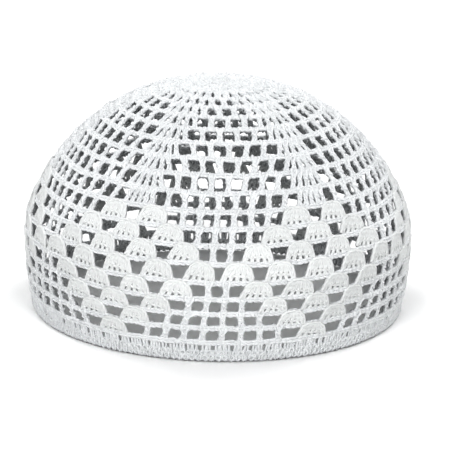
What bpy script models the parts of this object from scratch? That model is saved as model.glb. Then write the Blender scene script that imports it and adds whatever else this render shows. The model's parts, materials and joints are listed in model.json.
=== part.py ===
"""White crochet skull cap, worked from the top down: crown, side wall and rim band.

Metres, +Z up. The origin is the middle of the rim, which stands on z = 0.
Azimuth 0 is the front of the cap, at -Y, and grows towards +X.
"""
import math

import bmesh
import bpy
from mathutils import Matrix, Vector

# Heights of the three pieces, stacked from the rim up, and the widest line above the rim
BAND_HEIGHT = 0.0098
SIDE_HEIGHT = 0.0557
CROWN_HEIGHT = 0.0415
WIDEST_HEIGHT = 0.0400

# Widths across the cap, on the middle of the fabric
CAP_WIDTH = 0.1774
RIM_WIDTH = 0.1714
START_RING = 0.0036

# Fabric thicknesses, and the clearance between neighbouring pieces
MESH_THICKNESS = 0.0025
BAND_THICKNESS = 0.0030
RIM_ROUNDING = 0.0006
JOIN_GAP = 0.0004

# Shape of the dome above the widest line: r = (1 - t ** SHOULDER) ** (1 / FULLNESS)
SHOULDER = 1.40
FULLNESS = 2.36
RIM_CURVE = 2.0

# The net: mesh wedges round the cap, its lean from the top to the rim, and its gap sizes
WEDGES = 6
WEDGE_AZIMUTH = math.radians(0.8)
TURN_AT_TOP = math.radians(6.6)
TURN_AT_RIM = math.radians(-2.7)
GAP_CORNERS = 8
GAP_DEPTH = 0.009
FAN_GAP_TAPER = 0.25

# Facets: steps round the cap, and steps down the profile of each piece
STEPS_ROUND = 48
CROWN_STEPS = 9
SIDE_STEPS = 6
BAND_STEPS = 2

# Rows of gaps, each standing for two or three rounds of stitches.
# place: share of the piece's length from its upper to its lower edge.
# mesh and fan: number of gaps in the wedge, and among the fans below its spine.
# mesh_pitch and fan_pitch: degrees between neighbouring gaps.
CROWN_ROWS = (
    dict(place=0.345, mesh=1, mesh_pitch=20.0, fan=0, fan_pitch=0.0, width=0.0100, height=0.0150),
    dict(place=0.590, mesh=2, mesh_pitch=21.5, fan=0, fan_pitch=0.0, width=0.0145, height=0.0155),
    dict(place=0.850, mesh=3, mesh_pitch=16.0, fan=0, fan_pitch=0.0, width=0.0145, height=0.0155),
)
SIDE_ROWS = (
    dict(place=0.145, mesh=3, mesh_pitch=10.6, fan=1, fan_pitch=0.0, width=0.0105, height=0.0095),
    dict(place=0.410, mesh=1, mesh_pitch=10.0, fan=2, fan_pitch=18.0, width=0.0110, height=0.0100),
    dict(place=0.665, mesh=2, mesh_pitch=10.2, fan=1, fan_pitch=0.0, width=0.0110, height=0.0095),
    dict(place=0.890, mesh=4, mesh_pitch=10.8, fan=0, fan_pitch=0.0, width=0.0115, height=0.0075),
)

CAP_HEIGHT = BAND_HEIGHT + SIDE_HEIGHT + CROWN_HEIGHT
DOME_HEIGHT = CAP_HEIGHT - MESH_THICKNESS / 2


def radius_at(height):
    """Radius of the middle of the fabric at a height above the floor."""
    widest = CAP_WIDTH / 2
    if height >= WIDEST_HEIGHT:
        rise = (height - WIDEST_HEIGHT) / (DOME_HEIGHT - WIDEST_HEIGHT)
        return widest * max(0.0, 1 - rise ** SHOULDER) ** (1 / FULLNESS)
    drop = (WIDEST_HEIGHT - height) / WIDEST_HEIGHT
    return widest - (widest - RIM_WIDTH / 2) * drop ** RIM_CURVE


def fabric_line(samples=2000):
    """Points (r, z) down the middle of the fabric, from the pole to the floor, with their lengths."""
    points = []
    for i in range(samples + 1):
        # An even turn of a quarter circle puts more samples where the crown is flat
        height = DOME_HEIGHT * math.cos(0.5 * math.pi * i / samples)
        points.append(Vector((radius_at(max(0.0, height)), 0.0, max(0.0, height))))
    lengths = [0.0]
    for here, after in zip(points, points[1:]):
        lengths.append(lengths[-1] + (after - here).length)
    return points, lengths


LINE, LENGTHS = fabric_line()


def point_at(length):
    """Point of the fabric line at a length from the pole, and its outward normal."""
    last = len(LENGTHS) - 2
    low, high = 0, last
    while low < high:
        middle = (low + high + 1) // 2
        if LENGTHS[middle] <= length:
            low = middle
        else:
            high = middle - 1
    span = LENGTHS[low + 1] - LENGTHS[low]
    point = LINE[low].lerp(LINE[low + 1], (length - LENGTHS[low]) / span)
    along = (LINE[low + 1] - LINE[low]).normalized()
    return point, Vector((-along.z, 0.0, along.x))


def length_at_height(height):
    """Length from the pole down to a height above the floor."""
    for point, length in zip(LINE, LENGTHS):
        if point.z <= height:
            return length
    return LENGTHS[-1]


CROWN_EDGE = length_at_height(BAND_HEIGHT + SIDE_HEIGHT)
BAND_EDGE = length_at_height(BAND_HEIGHT)


def new_collection(name):
    collection = bpy.data.collections.new(name)
    bpy.context.scene.collection.children.link(collection)
    return collection


def new_object(name, mesh, collection):
    obj = bpy.data.objects.new(name, mesh)
    collection.objects.link(obj)
    return obj


def cotton(name, colour, roughness):
    """A matt cotton yarn finish."""
    material = bpy.data.materials.new(name)
    material.use_nodes = True
    shader = material.node_tree.nodes["Principled BSDF"]
    shader.inputs["Base Color"].default_value = (*colour, 1.0)
    shader.inputs["Roughness"].default_value = roughness
    shader.inputs["Metallic"].default_value = 0.0
    return material


def turned(name, profile, closed, material, collection):
    """A profile of points in the XZ plane, turned round the Z axis."""
    mesh = bpy.data.meshes.new(name)
    edges = [(i, i + 1) for i in range(len(profile) - 1)]
    if closed:
        edges.append((len(profile) - 1, 0))
    mesh.from_pydata(profile, edges, [])
    mesh.materials.append(material)
    obj = new_object(name, mesh, collection)
    screw = obj.modifiers.new("turn", "SCREW")
    screw.steps = STEPS_ROUND
    screw.render_steps = STEPS_ROUND
    screw.use_merge_vertices = True
    screw.merge_threshold = 0.00005
    screw.use_smooth_shade = True
    return obj


def add_gap(cutters, length, azimuth, width, height, taper):
    """One prism through the fabric; taper widens its upper side and narrows its lower side."""
    prism = bmesh.new()
    bmesh.ops.create_cone(
        prism,
        cap_ends=True,
        segments=GAP_CORNERS,
        radius1=0.5,
        radius2=0.5,
        depth=GAP_DEPTH,
        matrix=Matrix.Rotation(math.pi / GAP_CORNERS, 4, "Z"),
    )
    flat = math.cos(math.pi / GAP_CORNERS)
    point, normal = point_at(length)
    # Prism axes: X along the round, Y up the fabric, Z out of it
    place = Matrix((
        (0.0, -normal.z, normal.x, point.x),
        (1.0, 0.0, 0.0, point.y),
        (0.0, normal.x, normal.z, point.z),
        (0.0, 0.0, 0.0, 1.0),
    ))
    turn = Matrix.Rotation(azimuth - math.pi / 2, 4, "Z")
    for vertex in prism.verts:
        vertex.co.y *= height / flat
        vertex.co.x *= width / flat * (1 + taper * vertex.co.y / height)
        vertex.co = turn @ place @ vertex.co
    mesh = bpy.data.meshes.new("prism")
    prism.to_mesh(mesh)
    prism.free()
    cutters.from_mesh(mesh)
    bpy.data.meshes.remove(mesh)


def net_turn(length):
    """Lean of the net at a length from the pole."""
    return TURN_AT_TOP + (TURN_AT_RIM - TURN_AT_TOP) * length / LENGTHS[-1]


def net_cutters(name, rows, upper, lower, collection):
    """All gaps of one piece, whose fabric runs between two lengths from the pole."""
    gaps = bmesh.new()
    for row in rows:
        length = upper + (lower - upper) * row["place"]
        for wedge in range(WEDGES):
            middle = WEDGE_AZIMUTH + net_turn(length) + 2 * math.pi * wedge / WEDGES
            spine = middle + math.pi / WEDGES
            for centre, kind, taper in ((middle, "mesh", 0.0), (spine, "fan", FAN_GAP_TAPER)):
                count = row[kind]
                pitch = math.radians(row[kind + "_pitch"])
                for i in range(count):
                    azimuth = centre + (i - (count - 1) / 2) * pitch
                    add_gap(gaps, length, azimuth, row["width"], row["height"], taper)
    mesh = bpy.data.meshes.new(name)
    gaps.to_mesh(mesh)
    gaps.free()
    obj = new_object(name, mesh, collection)
    obj.hide_render = True
    obj.display_type = "WIRE"
    return obj


def net_piece(name, upper, lower, steps, cutters, material, collection):
    """A turned fabric shell between two lengths from the pole, with its gaps cut through."""
    profile = [point_at(upper + (lower - upper) * i / steps)[0] for i in range(steps + 1)]
    obj = turned(name, profile, False, material, collection)
    wall = obj.modifiers.new("fabric", "SOLIDIFY")
    wall.thickness = MESH_THICKNESS
    wall.offset = 0.0
    wall.use_even_offset = True
    cut = obj.modifiers.new("gaps", "BOOLEAN")
    cut.operation = "DIFFERENCE"
    cut.solver = "EXACT"
    cut.object = cutters
    return obj


def band_piece(name, material, collection):
    """The closely worked edging: a ring whose flat lower face is the rim."""
    upper = BAND_EDGE + JOIN_GAP / 2
    lower = length_at_height(RIM_ROUNDING)
    half = BAND_THICKNESS / 2
    outer = []
    inner = []
    for i in range(BAND_STEPS + 1):
        point, normal = point_at(upper + (lower - upper) * i / BAND_STEPS)
        outer.append(point + normal * half)
        inner.append(point - normal * half)
    rim = RIM_WIDTH / 2
    outer.append(Vector((rim + half - RIM_ROUNDING, 0.0, 0.0)))
    inner.append(Vector((rim - half + RIM_ROUNDING, 0.0, 0.0)))
    return turned(name, outer + inner[::-1], True, material, collection)


def build():
    for obj in list(bpy.data.objects):
        bpy.data.objects.remove(obj, do_unlink=True)
    cap = new_collection("crochet_cap")
    cutters = new_collection("gap_cutters")
    crown_cuts = net_cutters("crown_gaps", CROWN_ROWS, 0.0, CROWN_EDGE, cutters)
    side_cuts = net_cutters("side_gaps", SIDE_ROWS, CROWN_EDGE, BAND_EDGE, cutters)
    white = cotton("white_cotton_mesh", (0.80, 0.81, 0.84), 0.90)
    fans = cotton("white_cotton_fans", (0.78, 0.79, 0.81), 0.90)
    edging = cotton("white_cotton_edging", (0.79, 0.80, 0.83), 0.92)
    net_piece("crown", START_RING / 2, CROWN_EDGE - JOIN_GAP / 2, CROWN_STEPS, crown_cuts, white, cap)
    net_piece("side_wall", CROWN_EDGE + JOIN_GAP / 2, BAND_EDGE - JOIN_GAP / 2, SIDE_STEPS,
              side_cuts, fans, cap)
    band_piece("band", edging, cap)


build()
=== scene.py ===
# White crochet skull cap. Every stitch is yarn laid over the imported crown, side wall and band.
import bisect
import json
import math
import random

import bpy
from mathutils import Matrix, Vector

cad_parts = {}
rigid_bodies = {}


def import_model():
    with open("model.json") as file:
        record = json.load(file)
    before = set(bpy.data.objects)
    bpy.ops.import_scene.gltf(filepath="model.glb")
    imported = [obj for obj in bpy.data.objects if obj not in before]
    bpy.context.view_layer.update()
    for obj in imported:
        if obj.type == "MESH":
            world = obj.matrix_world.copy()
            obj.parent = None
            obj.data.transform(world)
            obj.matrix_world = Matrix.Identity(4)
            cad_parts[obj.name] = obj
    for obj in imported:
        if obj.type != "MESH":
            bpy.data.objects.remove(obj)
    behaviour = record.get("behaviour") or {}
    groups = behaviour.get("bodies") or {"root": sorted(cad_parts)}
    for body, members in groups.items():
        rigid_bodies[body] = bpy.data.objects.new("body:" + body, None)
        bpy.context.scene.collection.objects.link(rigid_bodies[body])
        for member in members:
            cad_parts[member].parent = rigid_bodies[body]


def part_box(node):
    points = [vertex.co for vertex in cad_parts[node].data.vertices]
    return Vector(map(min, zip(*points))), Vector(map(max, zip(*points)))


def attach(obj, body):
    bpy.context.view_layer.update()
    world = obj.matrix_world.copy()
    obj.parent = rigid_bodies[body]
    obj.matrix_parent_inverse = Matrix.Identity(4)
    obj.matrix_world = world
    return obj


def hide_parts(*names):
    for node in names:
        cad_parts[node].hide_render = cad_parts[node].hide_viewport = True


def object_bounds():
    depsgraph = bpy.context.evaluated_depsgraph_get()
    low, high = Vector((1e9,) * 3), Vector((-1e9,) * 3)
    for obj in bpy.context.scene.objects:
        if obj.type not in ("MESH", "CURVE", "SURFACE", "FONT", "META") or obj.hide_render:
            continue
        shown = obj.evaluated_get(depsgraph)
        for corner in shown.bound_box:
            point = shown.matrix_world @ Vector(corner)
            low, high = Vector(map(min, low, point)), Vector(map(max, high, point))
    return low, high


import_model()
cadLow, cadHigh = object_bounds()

mm = 0.001
scene = bpy.context.scene

# Fabric outline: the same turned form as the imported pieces, whose boxes give its main sizes
fabric = {
    "wall": 2.5 * mm,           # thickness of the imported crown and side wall
    "inset": 0.6 * mm,          # yarn middle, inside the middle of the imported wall
    "rimWidth": 170.2 * mm,     # across the rim, on the yarn's middle
    "widestHeight": 40.0 * mm,
    "shoulder": 1.40,           # above the widest line: r = (1 - rise ** shoulder) ** (1 / fullness)
    "fullness": 2.36,
    "rimCurve": 2.0,            # power of the curve from the widest line in to the rim
    "samples": 1500,
}
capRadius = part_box("side_wall")[1].x - fabric["wall"] / 2 - fabric["inset"]
domeTop = cadHigh.z - fabric["wall"] / 2
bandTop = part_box("band")[1].z


def radiusAt(height):
    widest = fabric["widestHeight"]
    if height >= widest:
        rise = (height - widest) / (domeTop - widest)
        return capRadius * max(0.0, 1 - rise ** fabric["shoulder"]) ** (1 / fabric["fullness"])
    drop = (widest - height) / widest
    return capRadius - (capRadius - fabric["rimWidth"] / 2) * drop ** fabric["rimCurve"]


outline = []        # (radius, height) from the pole to the floor
outlineLengths = [0.0]
for i in range(fabric["samples"] + 1):
    height = domeTop * math.cos(0.5 * math.pi * i / fabric["samples"])
    outline.append((radiusAt(max(0.0, height)), max(0.0, height)))
    if i:
        outlineLengths.append(outlineLengths[-1] + math.dist(outline[-1], outline[-2]))


def outlineAt(length):
    # radius, height and outward normal at a length from the pole
    i = min(max(bisect.bisect_right(outlineLengths, length) - 1, 0), len(outline) - 2)
    (r0, z0), (r1, z1) = outline[i], outline[i + 1]
    span = outlineLengths[i + 1] - outlineLengths[i]
    share = (length - outlineLengths[i]) / span
    return r0 + (r1 - r0) * share, z0 + (z1 - z0) * share, (-(z1 - z0) / span, (r1 - r0) / span)


def lengthAtHeight(height):
    for point, length in zip(outline, outlineLengths):
        if point[1] <= height:
            return length
    return outlineLengths[-1]


def onFabric(length, azimuth, lift=0.0):
    # point of the fabric; azimuth 0 is the front and grows towards +X
    r, z, normal = outlineAt(length)
    r += normal[0] * lift
    return Vector((r * math.sin(azimuth), -r * math.cos(azimuth), z + normal[1] * lift))


def outwards(length, azimuth):
    normal = outlineAt(length)[2]
    return Vector((normal[0] * math.sin(azimuth), -normal[0] * math.cos(azimuth), normal[1]))


# The pattern, given as a chart. Six repeats; each round has a wedge of open mesh and, between
# wedges, a spine of close stitches that opens into fans further down.
pattern = {
    "repeats": 6,
    "front": math.radians(0.8),         # middle of the front wedge
    "startRing": 2.6 * mm,              # length from the pole to the ring that the cap starts on
    "startPosts": 18,                   # stitches worked into that ring
    "firstRound": 9.0 * mm,             # length from the pole to the first open round
    "crownRounds": 10,                  # rounds of the chart that belong to the crown
    "spineStitches": 5,
    "denseRounds": 4,                   # rounds whose spines are worked with hardly a gap
    "seed": 11,
}
# width of a post, as a share of the drawn one
postWidths = {"start": 0.8, "crown": 1.0, "dense": 1.2, "spine": 0.88, "side": 1.06}
# height: of the round, as a share of the fabric between the start and the band
# gaps: open gaps in the wedge; pitch: from gap to gap, in mm; turn: lean of the wedge, in degrees
# fans: fans in the spine; spread: from fan to fan, in mm
chart = [
    dict(height=7.8, gaps=1, pitch=2.2, turn=-0.3, fans=0, spread=0.0),
    dict(height=7.8, gaps=1, pitch=3.8, turn=-0.3, fans=0, spread=0.0),
    dict(height=7.75, gaps=2, pitch=5.7, turn=2.9, fans=0, spread=0.0),
    dict(height=7.95, gaps=3, pitch=7.0, turn=3.7, fans=0, spread=0.0),
    dict(height=8.2, gaps=4, pitch=7.4, turn=3.9, fans=0, spread=0.0),
    dict(height=8.4, gaps=5, pitch=7.8, turn=3.6, fans=0, spread=0.0),
    dict(height=8.45, gaps=6, pitch=7.9, turn=3.2, fans=0, spread=0.0),
    dict(height=8.4, gaps=7, pitch=7.6, turn=3.0, fans=0, spread=0.0),
    dict(height=8.65, gaps=8, pitch=7.4, turn=2.6, fans=0, spread=0.0),
    dict(height=8.35, gaps=9, pitch=7.3, turn=2.1, fans=0, spread=0.0),
    dict(height=7.75, gaps=7, pitch=7.5, turn=1.5, fans=2, spread=19.2),
    dict(height=7.45, gaps=5, pitch=7.5, turn=1.0, fans=3, spread=19.8),
    dict(height=7.7, gaps=3, pitch=7.1, turn=0.4, fans=4, spread=19.4),
    dict(height=8.05, gaps=1, pitch=7.6, turn=-0.1, fans=5, spread=18.9),
    dict(height=7.55, gaps=3, pitch=7.6, turn=-0.7, fans=4, spread=19.0),
    dict(height=6.85, gaps=5, pitch=7.7, turn=-1.2, fans=3, spread=20.1),
    dict(height=6.7, gaps=7, pitch=8.0, turn=-1.6, fans=2, spread=21.3),
    dict(height=6.8, gaps=9, pitch=8.4, turn=-1.9, fans=1, spread=0.0),
]
# how unlike a machine's the hand-worked stitches are
unevenness = {
    "size": 0.08,                       # share of a stitch's width and depth
    "tilt": 3.0,                        # degrees, about each axis
    "drift": 0.35,                      # how far a mesh post's ends stray along the rounds, in mm
    "waver": 0.35 * mm,                 # how far a worked round strays up and down
    "waves": 3,                         # waves that make up the waver
    "waveTurns": (7, 13, 29, 41),       # how often a wave may go up and down in a round
    "waveStart": 6.28,                  # a wave starts anywhere in a whole turn
    "bandPosts": 0.3,                   # how far the band's posts stray along it, in pitches
    "bandLoops": 0.08,                  # and its loops
}
rng = random.Random(pattern["seed"])

bandLength = lengthAtHeight(bandTop)
chartHeight = sum(row["height"] for row in chart)
worked = bandLength - pattern["firstRound"]
bars = [pattern["firstRound"]]          # lengths from the pole to the line between two rounds
for row in chart:
    bars.append(bars[-1] + worked * row["height"] / chartHeight)


def between(bar, column):
    # a chart value on the line between two rounds
    above = chart[max(bar - 1, 0)][column]
    below = chart[min(bar, len(chart) - 1)][column]
    return (above + below) / 2


def wedgeMiddle(repeat, bar):
    turn = math.radians(between(bar, "turn"))
    return pattern["front"] + repeat * 2 * math.pi / pattern["repeats"] + turn


def arc(bar, millimetres):
    # angle that a length covers along a line between rounds
    return millimetres * mm / outlineAt(bars[bar])[0]


def addNode(tree, kind, inputs=None, **settings):
    # a node with its settings; inputs are sockets to link or plain values
    node = tree.nodes.new(kind)
    for name, value in settings.items():
        setattr(node, name, value)
    for name, value in (inputs or {}).items():
        if isinstance(value, bpy.types.NodeSocket):
            tree.links.new(value, node.inputs[name])
        else:
            node.inputs[name].default_value = value
    return node


def newTree(name, sockets):
    tree = bpy.data.node_groups.new(name, "GeometryNodeTree")
    tree.interface.new_socket("Geometry", in_out="INPUT", socket_type="NodeSocketGeometry")
    tree.interface.new_socket("Geometry", in_out="OUTPUT", socket_type="NodeSocketGeometry")
    for label, kind in sockets:
        tree.interface.new_socket(label, in_out="INPUT", socket_type=kind)
    return tree, addNode(tree, "NodeGroupInput").outputs


def setInputs(modifier, values):
    # sets a modifier's inputs by the socket's identifier
    for item in modifier.node_group.interface.items_tree:
        if item.item_type == "SOCKET" and item.in_out == "INPUT" and item.name in values:
            modifier[item.identifier] = values[item.name]


def plainMesh(obj):
    # the evaluated object as a plain mesh, its modifiers gone
    graph = bpy.context.evaluated_depsgraph_get()
    mesh = bpy.data.meshes.new_from_object(obj.evaluated_get(graph))
    mesh.name = obj.name
    obj.modifiers.clear()
    obj.data = mesh
    return obj


def yarnTree():
    # turns guide lines into closed yarn, and notes where each point is round and along it
    tree, given = newTree("Yarn on guide lines", [
        ("Radius", "NodeSocketFloat"), ("Sides", "NodeSocketInt"), ("Finish", "NodeSocketMaterial")])
    path = addNode(tree, "GeometryNodeMeshToCurve", {"Mesh": given["Geometry"]})
    along = addNode(tree, "GeometryNodeSplineParameter")
    ring = addNode(tree, "GeometryNodeCurvePrimitiveCircle", {
        "Resolution": given["Sides"], "Radius": given["Radius"]})
    around = addNode(tree, "GeometryNodeSplineParameter")
    keepAlong = addNode(tree, "GeometryNodeCaptureAttribute", {"Geometry": path.outputs["Curve"]})
    keepAlong.capture_items.new("FLOAT", "along")
    tree.links.new(along.outputs["Length"], keepAlong.inputs["along"])
    keepAround = addNode(tree, "GeometryNodeCaptureAttribute", {"Geometry": ring.outputs["Curve"]})
    keepAround.capture_items.new("FLOAT", "around")
    tree.links.new(around.outputs["Factor"], keepAround.inputs["around"])
    tube = addNode(tree, "GeometryNodeCurveToMesh", {
        "Curve": keepAlong.outputs["Geometry"], "Profile Curve": keepAround.outputs["Geometry"],
        "Fill Caps": True})
    angle = addNode(tree, "ShaderNodeMath", {
        0: keepAround.outputs["around"], 1: 2 * math.pi}, operation="MULTIPLY")
    cosine = addNode(tree, "ShaderNodeMath", {0: angle.outputs[0]}, operation="COSINE")
    sine = addNode(tree, "ShaderNodeMath", {0: angle.outputs[0]}, operation="SINE")
    place = addNode(tree, "ShaderNodeCombineXYZ", {
        "X": cosine.outputs[0], "Y": sine.outputs[0], "Z": keepAlong.outputs["along"]})
    kept = addNode(tree, "GeometryNodeStoreNamedAttribute", {
        "Geometry": tube.outputs["Mesh"], "Name": "yarnPlace", "Value": place.outputs["Vector"]},
        data_type="FLOAT_VECTOR", domain="POINT")
    real = addNode(tree, "GeometryNodeRealizeInstances", {"Geometry": kept.outputs["Geometry"]})
    done = addNode(tree, "GeometryNodeSetMaterial", {
        "Geometry": real.outputs["Geometry"], "Material": given["Finish"]})
    addNode(tree, "NodeGroupOutput", {"Geometry": done.outputs["Geometry"]})
    return tree


def stitchTree():
    tree, given = newTree("Stitches on places", [
        ("Stitches", "NodeSocketCollection"), ("Unevenness", "NodeSocketFloat"),
        ("Wobble", "NodeSocketFloat"), ("Seed", "NodeSocketInt"), ("Finish", "NodeSocketMaterial")])
    points = addNode(tree, "GeometryNodeMeshToPoints", {"Mesh": given["Geometry"]})
    tone = addNode(tree, "FunctionNodeRandomValue", {"Seed": given["Seed"]}, data_type="FLOAT")
    toned = addNode(tree, "GeometryNodeStoreNamedAttribute", {
        "Geometry": points.outputs["Points"], "Name": "tone", "Value": tone.outputs[1]},
        data_type="FLOAT", domain="POINT")
    kit = addNode(tree, "GeometryNodeCollectionInfo", {
        "Collection": given["Stitches"], "Separate Children": True, "Reset Children": True})
    pick = addNode(tree, "FunctionNodeRandomValue", {
        4: 0, 5: 1000, "Seed": given["Seed"]}, data_type="INT")
    turn = addNode(tree, "GeometryNodeInputNamedAttribute", {"Name": "turn"}, data_type="QUATERNION")
    size = addNode(tree, "GeometryNodeInputNamedAttribute", {"Name": "size"}, data_type="FLOAT_VECTOR")
    less = addNode(tree, "ShaderNodeMath", {0: 1.0, 1: given["Unevenness"]}, operation="SUBTRACT")
    more = addNode(tree, "ShaderNodeMath", {0: 1.0, 1: given["Unevenness"]}, operation="ADD")
    lowSize = addNode(tree, "ShaderNodeCombineXYZ", {
        "X": less.outputs[0], "Y": 1.0, "Z": less.outputs[0]})
    highSize = addNode(tree, "ShaderNodeCombineXYZ", {
        "X": more.outputs[0], "Y": 1.0, "Z": more.outputs[0]})
    uneven = addNode(tree, "FunctionNodeRandomValue", {
        "Min": lowSize.outputs[0], "Max": highSize.outputs[0], "Seed": given["Seed"]},
        data_type="FLOAT_VECTOR")
    scaled = addNode(tree, "ShaderNodeVectorMath", {
        0: size.outputs["Attribute"], 1: uneven.outputs["Value"]}, operation="MULTIPLY")
    back = addNode(tree, "ShaderNodeMath", {0: given["Wobble"], 1: -1.0}, operation="MULTIPLY")
    lowTilt = addNode(tree, "ShaderNodeCombineXYZ", {
        "X": back.outputs[0], "Y": back.outputs[0], "Z": back.outputs[0]})
    highTilt = addNode(tree, "ShaderNodeCombineXYZ", {
        "X": given["Wobble"], "Y": given["Wobble"], "Z": given["Wobble"]})
    tilt = addNode(tree, "FunctionNodeRandomValue", {
        "Min": lowTilt.outputs[0], "Max": highTilt.outputs[0], "Seed": given["Seed"]},
        data_type="FLOAT_VECTOR")
    tiltTurn = addNode(tree, "FunctionNodeEulerToRotation", {"Euler": tilt.outputs["Value"]})
    turned = addNode(tree, "FunctionNodeRotateRotation", {
        "Rotation": turn.outputs["Attribute"], "Rotate By": tiltTurn.outputs[0]},
        rotation_space="LOCAL")
    copies = addNode(tree, "GeometryNodeInstanceOnPoints", {
        "Points": toned.outputs["Geometry"], "Instance": kit.outputs[0], "Pick Instance": True,
        "Instance Index": pick.outputs[2], "Rotation": turned.outputs[0], "Scale": scaled.outputs[0]})
    real = addNode(tree, "GeometryNodeRealizeInstances", {"Geometry": copies.outputs["Instances"]})
    smooth = addNode(tree, "GeometryNodeSetShadeSmooth", {"Geometry": real.outputs["Geometry"]})
    done = addNode(tree, "GeometryNodeSetMaterial", {
        "Geometry": smooth.outputs["Geometry"], "Material": given["Finish"]})
    addNode(tree, "NodeGroupOutput", {"Geometry": done.outputs["Geometry"]})
    return tree


def linear(hexColour):
    # sRGB hex to linear
    parts = [int(hexColour[i:i + 2], 16) / 255 for i in (1, 3, 5)]
    return (*(c / 12.92 if c <= 0.04045 else ((c + 0.055) / 1.055) ** 2.4 for c in parts), 1.0)


def cottonYarn(name, look):
    # Mercerised cotton crochet yarn, two plies twisted: matt with a soft sheen at its edges,
    # a slanting rib where the plies turn, faint fuzz, and painted shade in its folds.
    material = bpy.data.materials.new(name)
    material.use_nodes = True
    tree = material.node_tree
    tree.nodes.clear()
    place = addNode(tree, "ShaderNodeAttribute", attribute_name="yarnPlace")
    parts = addNode(tree, "ShaderNodeSeparateXYZ", {0: place.outputs["Vector"]})
    c, s, along = parts.outputs
    # two plies: cos(2 angle - twist) from the cosine and sine of the angle
    cc = addNode(tree, "ShaderNodeMath", {0: c, 1: c}, operation="MULTIPLY")
    ss = addNode(tree, "ShaderNodeMath", {0: s, 1: s}, operation="MULTIPLY")
    cos2 = addNode(tree, "ShaderNodeMath", {0: cc.outputs[0], 1: ss.outputs[0]}, operation="SUBTRACT")
    cs = addNode(tree, "ShaderNodeMath", {0: c, 1: s}, operation="MULTIPLY")
    sin2 = addNode(tree, "ShaderNodeMath", {0: cs.outputs[0], 1: 2.0}, operation="MULTIPLY")
    twist = addNode(tree, "ShaderNodeMath", {
        0: along, 1: 2 * math.pi / look["twistPitch"]}, operation="MULTIPLY")
    cosT = addNode(tree, "ShaderNodeMath", {0: twist.outputs[0]}, operation="COSINE")
    sinT = addNode(tree, "ShaderNodeMath", {0: twist.outputs[0]}, operation="SINE")
    first = addNode(tree, "ShaderNodeMath", {
        0: cos2.outputs[0], 1: cosT.outputs[0]}, operation="MULTIPLY")
    plies = addNode(tree, "ShaderNodeMath", {
        0: sin2.outputs[0], 1: sinT.outputs[0], 2: first.outputs[0]}, operation="MULTIPLY_ADD")
    coords = addNode(tree, "ShaderNodeTexCoord")
    fibres = addNode(tree, "ShaderNodeTexNoise", {
        "Vector": coords.outputs["Object"], "Scale": 1 / look["fibre"], "Detail": look["fibreDetail"]})
    height = addNode(tree, "ShaderNodeMath", {
        0: fibres.outputs["Fac"], 1: look["fuzz"], 2: plies.outputs[0]}, operation="MULTIPLY_ADD")
    bump = addNode(tree, "ShaderNodeBump", {
        "Height": height.outputs[0], "Strength": look["bump"], "Distance": look["plyDepth"]})
    tone = addNode(tree, "ShaderNodeAttribute", attribute_name="tone")
    # painted shade: the colour turns grey in the grooves where the plies dip
    folds = addNode(tree, "ShaderNodeMapRange", {
        "Value": plies.outputs[0], "From Min": -1.0, "From Max": 1.0,
        "To Min": look["foldShade"], "To Max": 0.0})
    # share of grey: random tone from stitch to stitch, plus the painted shade in the folds
    shade = addNode(tree, "ShaderNodeMath", {
        0: tone.outputs["Fac"], 1: look["toneSpread"], 2: folds.outputs[0]}, operation="MULTIPLY_ADD")
    colour = addNode(tree, "ShaderNodeMix", {
        "Factor": shade.outputs[0], 6: linear(look["light"]), 7: linear(look["toneAndShadeGrey"])},
        data_type="RGBA")
    shader = addNode(tree, "ShaderNodeBsdfPrincipled", {
        "Base Color": colour.outputs[2], "Roughness": look["roughness"], "IOR": look["ior"],
        "Sheen Weight": look["sheen"], "Sheen Roughness": look["sheenRoughness"],
        "Normal": bump.outputs["Normal"]})
    addNode(tree, "ShaderNodeOutputMaterial", {"Surface": shader.outputs["BSDF"]})
    return material


yarnLook = {
    "light": "#E9EAEB",
    # grey that the random stitch tone and the painted shade in the folds mix towards
    "toneAndShadeGrey": "#BABDBE",
    "roughness": 0.86,
    "ior": 1.53,                # cotton fibre
    "sheen": 0.12,
    "sheenRoughness": 0.5,
    "twistPitch": 3.0 * mm,     # real yarn turns in about 2 mm; drawn coarser so that it shows
    "plyDepth": 0.22 * mm,
    "bump": 0.4,
    "fibre": 0.5 * mm,          # tufts of fuzz; a fibre is 0.02 mm thick, too fine to show
    "fibreDetail": 3.0,
    "fuzz": 0.5,                # height of the fuzz, as a share of the plies
    "foldShade": 0.14,          # painted shade between the plies
    "toneSpread": 0.12,         # greying from stitch to stitch
}
# worked loosely, the same yarn lets more light through, and so the fans are painted a shade greyer: a
# copy of the yarn with painted shade
fanShadedLook = dict(yarnLook, light="#E6E7E7", toneAndShadeGrey="#B7B9B9")
cotton = cottonYarn("white cotton crochet yarn, mercerised", yarnLook)
fanShadedCotton = cottonYarn("white cotton crochet yarn, loosely worked", fanShadedLook)


# Stitches are drawn as guide lines in mm: across, up and out of the fabric. Each kind is drawn a few
# times, its points moved a little each time, so that neighbours aren't alike.
def stitchObject(name, lines, closed, design, tree):
    # guide lines made into yarn by the tree
    mesh = bpy.data.meshes.new(name)
    points = []
    edges = []
    for line in lines:
        first = len(points)
        points += [Vector(p) * mm for p in line]
        edges += [(i, i + 1) for i in range(first, len(points) - 1)]
        if closed:
            edges.append((len(points) - 1, first))
    mesh.from_pydata(points, edges, [])
    obj = bpy.data.objects.new(name, mesh)
    scene.collection.objects.link(obj)
    modifier = obj.modifiers.new("yarn", "NODES")
    modifier.node_group = tree
    setInputs(modifier, {"Radius": design["radius"], "Sides": design["sides"], "Finish": cotton})
    return plainMesh(obj)


def stitchKit(name, drawLines, closed, design, tree):
    kit = bpy.data.collections.new(name)
    for variant in range(design["variants"]):
        lines = []
        for line in drawLines():
            lines.append([[value + rng.gauss(0, design["loose"]) for value in point] for point in line])
        stitch = stitchObject(f"{name}_{variant + 1}", lines, closed, design, tree)
        scene.collection.objects.unlink(stitch)
        kit.objects.link(stitch)
    return kit


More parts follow.
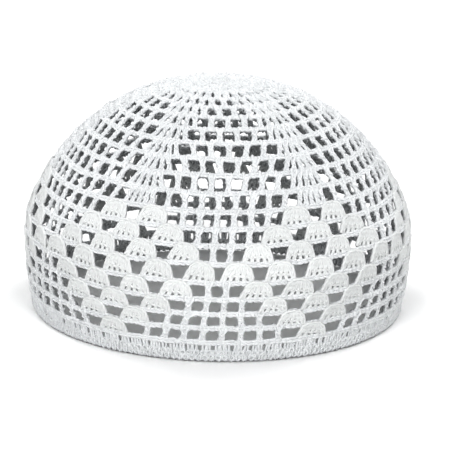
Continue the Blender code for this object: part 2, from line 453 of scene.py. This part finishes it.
post = {
    "height": 8.0 * mm,         # as drawn; a stitch is stretched to the height of its round
    "depth": 1.05,              # and made this much deeper
    "radius": 0.76 * mm,        # of the yarn
    "sides": 5,
    "variants": 4,
    "loose": 0.13,              # how far the points of a variant stray, in mm
    "waist": 0.62,              # half the distance between the two strands at the waist
    "ends": 1.35,               # and where they meet the rounds
}


def postLines():
    # two strands hook over the round above, run down together and spread at the foot
    w = post["waist"]
    e = post["ends"]
    lines = []
    for side in (-1, 1):
        lines.append([
            (side * 0.8, 3.4, -1.05), (side * e, 4.9, -0.75), (side * e, 5.1, 0.75),
            (side * e, 3.8, 1.35), (side * (w + e) / 2, 2.7, 1.0), (side * w, 1.2, 0.7 + side * 0.15),
            (side * w, -0.9, 0.6 - side * 0.15), (side * (w + e) / 2, -2.7, 0.45),
            (side * e, -4.1, 0.15),
        ])
    # a third fills them where they part
    lines.append([
        (0.0, 4.9, 0.3), (0.1, 3.0, 0.75), (-0.1, 0.4, 0.35), (0.1, -2.4, 0.4), (0.0, -4.3, 0.1),
    ])
    # and the yarn-over slants across them
    lines.append([
        (-0.9, 1.2, -0.2), (-0.7, 1.0, 0.95), (0.05, 0.4, 1.3), (0.7, -0.2, 0.95), (0.9, -0.4, -0.2),
    ])
    return lines


fan = {
    "height": 8.0 * mm,
    "depth": 1.0,
    "radius": 0.88 * mm,
    "sides": 5,
    "variants": 4,
    "loose": 0.05,
    "lift": 0.25 * mm,          # how far the fans stand out
    "stitches": 5,
    "foot": 5.9,                # from the middle to the outer stitch, at the foot
    "top": 2.5,                 # and at the top
    "bow": 0.5,                 # how far the outer stitches bend outwards between them
    "lowest": -4.2,             # height of the feet, below the middle of the round
    "rise": 8.4,                # height of the middle stitch
    "drop": 0.8,                # how much shorter the outer ones are
    "points": 8,                # along each strand
    "strand": 0.42,             # share of a stitch's width from its middle to each of its two strands
    "footWidth": 1.8,           # width of a stitch at the foot
    "taper": 0.9,               # and how much it loses up to the top
    "holes": 1.05,              # how much it narrows just above the foot, which leaves small holes
    "holePoints": (1, 2, 3),
    "holeSpread": (0.75, 1.1),  # the least and most of that, as shares
    "stray": 0.04,              # how far a stitch is off its even place, in shares of the half width
    "footOut": 0.1,             # how far the foot stands out of the fabric
    "topOut": 0.9,              # how much further the top does
    "swell": 0.4,               # and the middle, between them
    # one half of the loop of yarn round its edge, then the point at its top
    "edge": [(6.9, -4.1, 0.4), (6.5, -2.6, 0.6), (6.0, -0.8, 0.8), (5.5, 1.0, 1.0), (4.9, 2.5, 1.1),
             (3.9, 3.6, 1.2), (2.2, 4.3, 1.25)],
    "edgeTop": (0.0, 4.5, 1.25),
}


def fanLines():
    # stitches spread from one space, bent into a dome, with a loop of yarn round its edge
    lines = []
    half = (fan["stitches"] - 1) / 2
    for j in range(fan["stitches"]):
        side = (j - half) / half + rng.uniform(-fan["stray"], fan["stray"])
        narrow = fan["holes"] * rng.uniform(*fan["holeSpread"])
        for strand in (-fan["strand"], fan["strand"]):
            line = []
            for i in range(fan["points"]):
                t = i / (fan["points"] - 1)
                swell = math.sin(math.pi * t)
                across = side * (fan["foot"] * (1 - t) + fan["top"] * t + fan["bow"] * swell)
                width = fan["footWidth"] - fan["taper"] * t
                if i in fan["holePoints"]:
                    width -= narrow
                up = fan["lowest"] + (fan["rise"] - fan["drop"] * side * side) * t
                out = fan["footOut"] + fan["topOut"] * t + fan["swell"] * swell
                line.append((across + strand * width, up, out))
            lines.append(line)
    # one strand across the foot, which parts the small holes above and below it
    lines.append([
        (-5.8, -1.4, 0.6), (-3.1, -1.0, 0.85), (0.0, -0.9, 0.95), (3.1, -1.0, 0.85), (5.8, -1.4, 0.6),
    ])
    edge = [(-x, y, z) for x, y, z in fan["edge"]]
    lines.append(edge + [fan["edgeTop"]] + fan["edge"][::-1])
    return lines


link = {
    "length": 2.6 * mm,         # as drawn, and how long a chain stitch is on the rounds
    "depth": 1.2,
    "radius": 0.78 * mm,
    "sides": 5,
    "variants": 4,
    "loose": 0.09,
    "legs": 0.60,               # half the distance between the two legs of a chain stitch
    "lift": 0.25 * mm,          # how far the worked rounds stand out
    "fewest": 5,                # stitches in a round
}


def loopOf(half):
    # a closed loop from its right half
    return [half + [(-x, y, z) for x, y, z in reversed(half)]]


def linkLines():
    # a teardrop: narrow tail tucked under the loop behind, wide open nose
    w = link["legs"]
    return loopOf([
        (0.25, -1.7, -0.5), (w * 0.75, -0.9, 0.2), (w, 0.3, 0.6), (w, 1.45, 0.5), (w * 0.55, 2.3, 0.0),
    ])


bandPost = {
    "height": 4.5 * mm,
    "radius": 0.76 * mm,
    "sides": 5,
    "variants": 4,
    "loose": 0.10,
}


def bandLines():
    # two strands side by side, hooked over the round above
    lines = []
    for side in (-1, 1):
        lines.append([
            (side * 0.5, 1.6, -0.7), (side * 0.75, 2.7, 0.2), (side * 0.7, 1.6, 0.9),
            (side * 0.6, 0.0, 0.5), (side * 0.66, -1.5, 0.4), (side * 0.7, -2.6, 0.1),
        ])
    return lines


shortStitch = {
    "height": 2.7 * mm,
    "radius": 0.64 * mm,
    "sides": 5,
    "variants": 4,
    "loose": 0.08,
    "lift": 0.3 * mm,
}


def shortLines():
    # a small loop, legs together at the foot and open above it
    return loopOf([(0.3, -1.5, -0.1), (0.85, -0.7, 0.4), (1.0, 0.3, 0.5), (0.55, 1.3, 0.2)])


yarn = yarnTree()
postKit = stitchKit("post_stitch", postLines, False, post, yarn)
fanKit = stitchKit("fan_motif", fanLines, False, fan, yarn)
linkKit = stitchKit("chain_stitch", linkLines, True, link, yarn)
bandKit = stitchKit("band_post", bandLines, False, bandPost, yarn)
shortKit = stitchKit("short_stitch", shortLines, True, shortStitch, yarn)
print("stitches drawn")


# Stitches are collected as places: where one sits, how it is turned and how large it is
def newPlaces():
    return {"at": [], "turn": [], "size": []}


def addStitch(places, top, foot, normal, drawnHeight, width=1.0, depth=1.0):
    # a stitch runs from top to foot, its face along normal
    up = (top - foot).normalized()
    across = up.cross(normal).normalized()
    face = across.cross(up)
    places["at"].append((top + foot) / 2)
    places["turn"].append(Matrix((across, up, face)).transposed().to_quaternion())
    places["size"].append(Vector((width, (top - foot).length / drawnHeight, depth)))


def addPost(places, design, ends, width=1.0, lift=0.0):
    # a post or a fan; ends are its lengths from the pole and azimuths, top first
    (topLength, topAzimuth), (footLength, footAzimuth) = ends
    top = onFabric(topLength, topAzimuth, lift)
    foot = onFabric(footLength, footAzimuth, lift)
    normal = outwards((topLength + footLength) / 2, (topAzimuth + footAzimuth) / 2)
    addStitch(places, top, foot, normal, design["height"], width, design["depth"])


def meshPosts(rounds, width):
    # the open mesh: posts between neighbouring gaps of each wedge
    places = newPlaces()
    for k in rounds:
        gaps = chart[k]["gaps"]
        for repeat in range(pattern["repeats"]):
            for i in range(1, gaps):
                offset = i - gaps / 2
                top = wedgeMiddle(repeat, k) + offset * arc(k, between(k, "pitch"))
                foot = wedgeMiddle(repeat, k + 1) + offset * arc(k + 1, between(k + 1, "pitch"))
                drift = rng.uniform(-unevenness["drift"], unevenness["drift"])
                ends = (bars[k], top + arc(k, drift)), (bars[k + 1], foot - arc(k + 1, drift))
                addPost(places, post, ends, width)
    return places


def spinePosts(rounds):
    # the close stitches between the crown's wedges
    places = newPlaces()
    last = pattern["spineStitches"] - 1
    for k in rounds:
        width = postWidths["dense" if k < pattern["denseRounds"] else "spine"]
        for repeat in range(pattern["repeats"]):
            edges = []
            for bar in (k, k + 1):
                wedge = chart[k]["gaps"] * arc(bar, between(bar, "pitch"))
                spine = 2 * math.pi / pattern["repeats"] - wedge
                start = wedgeMiddle(repeat, bar) + wedge / 2
                edges.append([start + spine * j / last for j in range(last + 1)])
            for top, foot in zip(*edges):
                addPost(places, post, ((bars[k], top), (bars[k + 1], foot)), width)
    return places


def startPosts():
    # the first round, worked into the starting ring
    places = newPlaces()
    for i in range(pattern["startPosts"]):
        azimuth = 2 * math.pi * i / pattern["startPosts"]
        ends = (pattern["startRing"], azimuth), (bars[0], azimuth)
        addPost(places, post, ends, postWidths["start"])
    return places


def fans(rounds):
    # the fans that the spines open into
    places = newPlaces()
    half = math.pi / pattern["repeats"]
    for k in rounds:
        count = chart[k]["fans"]
        for repeat in range(pattern["repeats"]):
            for f in range(count):
                offset = (f - (count - 1) / 2) * chart[k]["spread"]
                top = wedgeMiddle(repeat, k) + half + arc(k, offset)
                foot = wedgeMiddle(repeat, k + 1) + half + arc(k + 1, offset)
                addPost(places, fan, ((bars[k], top), (bars[k + 1], foot)), 1.0, fan["lift"])
    return places


def roundsOfChain(lengths, lift):
    # worked rounds: chain stitches nose to tail, which waver a little up and down
    places = newPlaces()
    for length in lengths:
        phase = rng.random()
        count = max(link["fewest"], round(2 * math.pi * outlineAt(length)[0] / link["length"]))
        pitch = 2 * math.pi / count
        waves = [(rng.uniform(0, unevenness["waveStart"]), rng.choice(unevenness["waveTurns"]))
                 for _ in range(unevenness["waves"])]
        for i in range(count):
            azimuth = (i + phase) * pitch
            waver = sum(math.sin(azimuth * turns + start) for start, turns in waves) / len(waves)
            here = length + unevenness["waver"] * waver
            start = onFabric(here, azimuth - pitch / 2, lift)
            end = onFabric(here, azimuth + pitch / 2, lift)
            addStitch(places, end, start, outwards(here, azimuth), link["length"], 1.0, link["depth"])
    return places


band = {
    "firstRow": 4.5 * mm,       # a round of close posts
    "pitch": 2.85 * mm,         # from stitch to stitch
    "rows": 2,                  # rounds of short stitches below it
    "rowShift": 0.5,            # shift from one to the next, in pitches
    "rowGap": 0.3,              # from the posts' feet to the first loops' middle, in loop heights
    "floor": 2.35 * mm,         # middle of the last row above the floor
    "backing": [4.5 * mm, 3.3 * mm, 2.2 * mm],      # heights of the worked rounds behind them
    "backingLift": -0.6 * mm,   # behind the middle of the fabric
}


def bandPosts():
    places = newPlaces()
    count = round(2 * math.pi * outlineAt(bandLength)[0] / band["pitch"])
    for i in range(count):
        stray = rng.uniform(-unevenness["bandPosts"], unevenness["bandPosts"])
        azimuth = 2 * math.pi * (i + stray) / count
        top = onFabric(bandLength, azimuth)
        foot = onFabric(bandLength + band["firstRow"], azimuth)
        addStitch(places, top, foot, outwards(bandLength, azimuth), bandPost["height"])
    return places


def shortStitches():
    # upright loops, one round under the other
    places = newPlaces()
    height = shortStitch["height"]
    last = lengthAtHeight(band["floor"])
    first = bandLength + band["firstRow"] + height * band["rowGap"]
    count = round(2 * math.pi * outlineAt(last)[0] / band["pitch"])
    for row in range(band["rows"]):
        length = first + (last - first) * row / (band["rows"] - 1)
        for i in range(count):
            stray = rng.uniform(-unevenness["bandLoops"], unevenness["bandLoops"])
            azimuth = 2 * math.pi * (i + row * band["rowShift"] + stray) / count
            top = onFabric(length - height / 2, azimuth, shortStitch["lift"])
            foot = onFabric(length + height / 2, azimuth, shortStitch["lift"])
            addStitch(places, top, foot, outwards(length, azimuth), height)
    return places


def stitchPiece(name, places, kit, node, finish, seed, tree):
    # one piece: its stitches set on their places by the tree, in place of a CAD node
    mesh = bpy.data.meshes.new(name)
    mesh.from_pydata(places["at"], [], [])
    turn = mesh.attributes.new("turn", "QUATERNION", "POINT")
    turn.data.foreach_set("value", [v for q in places["turn"] for v in q])
    size = mesh.attributes.new("size", "FLOAT_VECTOR", "POINT")
    size.data.foreach_set("vector", [v for s in places["size"] for v in s])
    obj = bpy.data.objects.new(name, mesh)
    scene.collection.objects.link(obj)
    modifier = obj.modifiers.new("stitches", "NODES")
    modifier.node_group = tree
    setInputs(modifier, {
        "Stitches": kit, "Unevenness": unevenness["size"],
        "Wobble": math.radians(unevenness["tilt"]), "Seed": seed, "Finish": finish})
    plainMesh(obj)
    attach(obj, "root")
    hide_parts(node)
    triangles = sum(len(polygon.vertices) - 2 for polygon in obj.data.polygons)
    print(name, len(places["at"]), "stitches,", triangles, "triangles")


crownRows = range(pattern["crownRounds"])
sideRows = range(pattern["crownRounds"], len(chart))
crownLines = [pattern["startRing"]] + bars[:pattern["crownRounds"] + 1]
sideLines = bars[pattern["crownRounds"] + 1:-1]
backingLines = [lengthAtHeight(height) for height in band["backing"]]
work = [
    ("crown_start_posts", startPosts(), postKit, "crown", cotton),
    ("crown_mesh_posts", meshPosts(crownRows, postWidths["crown"]), postKit, "crown", cotton),
    ("crown_spine_posts", spinePosts(crownRows), postKit, "crown", cotton),
    ("crown_rounds", roundsOfChain(crownLines, link["lift"]), linkKit, "crown", cotton),
    ("side_mesh_posts", meshPosts(sideRows, postWidths["side"]), postKit, "side_wall", cotton),
    # the fans' yarn is the same cotton with painted shade, a shade greyer
    ("side_fans", fans(sideRows), fanKit, "side_wall", fanShadedCotton),
    ("side_rounds", roundsOfChain(sideLines, link["lift"]), linkKit, "side_wall", cotton),
    ("band_posts", bandPosts(), bandKit, "band", cotton),
    ("band_top_round", roundsOfChain([bars[-1]], link["lift"]), linkKit, "band", cotton),
    ("band_backing", roundsOfChain(backingLines, band["backingLift"]), linkKit, "band", cotton),
    ("band_short_stitches", shortStitches(), shortKit, "band", cotton),
]
stitches = stitchTree()
for seed, (name, places, kit, node, finish) in enumerate(work, 1):
    stitchPiece(name, places, kit, node, finish, seed, stitches)
for kit in (postKit, fanKit, linkKit, bandKit, shortKit):
    for stitch in list(kit.objects):
        bpy.data.objects.remove(stitch, do_unlink=True)
    bpy.data.collections.remove(kit)
print("stitches laid")

# Studio: pale floor, five soft lights and the camera at the photograph's angle
studio = {
    "floorSide": 8.0,
    "floorColour": "#F4F4F4",
    "floorRoughness": 0.9,
    "ambient": 0.30,
    "look": "Very High Contrast",
    "gamma": 0.75,
    "lightDistance": 4.5,
}
# azimuth and elevation in degrees, size across in metres, power in watts
lights = {
    "front_left": dict(azimuth=-25, elevation=30, size=2.0, power=38),
    "front_right": dict(azimuth=25, elevation=30, size=2.0, power=31),
    "back_left": dict(azimuth=-135, elevation=35, size=3.0, power=42),
    "back_right": dict(azimuth=135, elevation=35, size=3.0, power=42),
    "overhead": dict(azimuth=0, elevation=85, size=3.0, power=22),
}
view = {
    "elevation": math.radians(15.8),
    "distance": 1.2264,
    "targetHeight": 47.8 * mm,
    "lens": 210.3,
    "sensor": 36.0,
    "pan": math.radians(0.15),
    "tilt": math.radians(-0.435),
    "roll": math.radians(-1.23),
    "nearest": 0.05,
    "furthest": 20.0,
}


def makeFloor():
    half = studio["floorSide"] / 2
    corners = [(-half, -half, 0), (half, -half, 0), (half, half, 0), (-half, half, 0)]
    mesh = bpy.data.meshes.new("studio_floor")
    mesh.from_pydata(corners, [], [(0, 1, 2, 3)])
    floor = bpy.data.objects.new("studio_floor", mesh)
    scene.collection.objects.link(floor)
    paper = bpy.data.materials.new("pale paper, matt")
    paper.use_nodes = True
    shader = paper.node_tree.nodes["Principled BSDF"]
    shader.inputs["Base Color"].default_value = linear(studio["floorColour"])
    shader.inputs["Roughness"].default_value = studio["floorRoughness"]
    mesh.materials.append(paper)


def softLight(name, azimuth, elevation, size, power):
    data = bpy.data.lights.new(name, "AREA")
    data.shape = "DISK"
    data.size = size
    data.energy = power
    light = bpy.data.objects.new(name, data)
    scene.collection.objects.link(light)
    a, e = math.radians(azimuth), math.radians(elevation)
    back = Vector((math.sin(a) * math.cos(e), -math.cos(a) * math.cos(e), math.sin(e)))
    light.location = back * studio["lightDistance"]
    light.rotation_mode = "QUATERNION"
    light.rotation_quaternion = back.to_track_quat("Z", "Y")


def makeCamera():
    data = bpy.data.cameras.new("camera")
    data.lens = view["lens"]
    data.sensor_width = view["sensor"]
    data.clip_start = view["nearest"]
    data.clip_end = view["furthest"]
    camera = bpy.data.objects.new("camera", data)
    scene.collection.objects.link(camera)
    e = view["elevation"]
    forward = Vector((0, math.cos(e), -math.sin(e)))
    right = Vector((1, 0, 0))
    up = right.cross(forward)
    camera.location = Vector((0, 0, view["targetHeight"])) - forward * view["distance"]
    aim = forward + math.tan(view["pan"]) * right + math.tan(view["tilt"]) * up
    camera.rotation_mode = "QUATERNION"
    turn = aim.to_track_quat("-Z", "Y").to_matrix() @ Matrix.Rotation(-view["roll"], 3, "Z")
    camera.rotation_quaternion = turn.to_quaternion()
    scene.camera = camera


makeFloor()
for name, light in lights.items():
    softLight(name, **light)
makeCamera()
world = bpy.data.worlds.new("studio")
world.use_nodes = True
world.node_tree.nodes["Background"].inputs["Color"].default_value = (1, 1, 1, 1)
world.node_tree.nodes["Background"].inputs["Strength"].default_value = studio["ambient"]
scene.world = world
scene.view_settings.view_transform = "Standard"
scene.view_settings.look = studio["look"]
scene.view_settings.gamma = studio["gamma"]
print("studio ready")
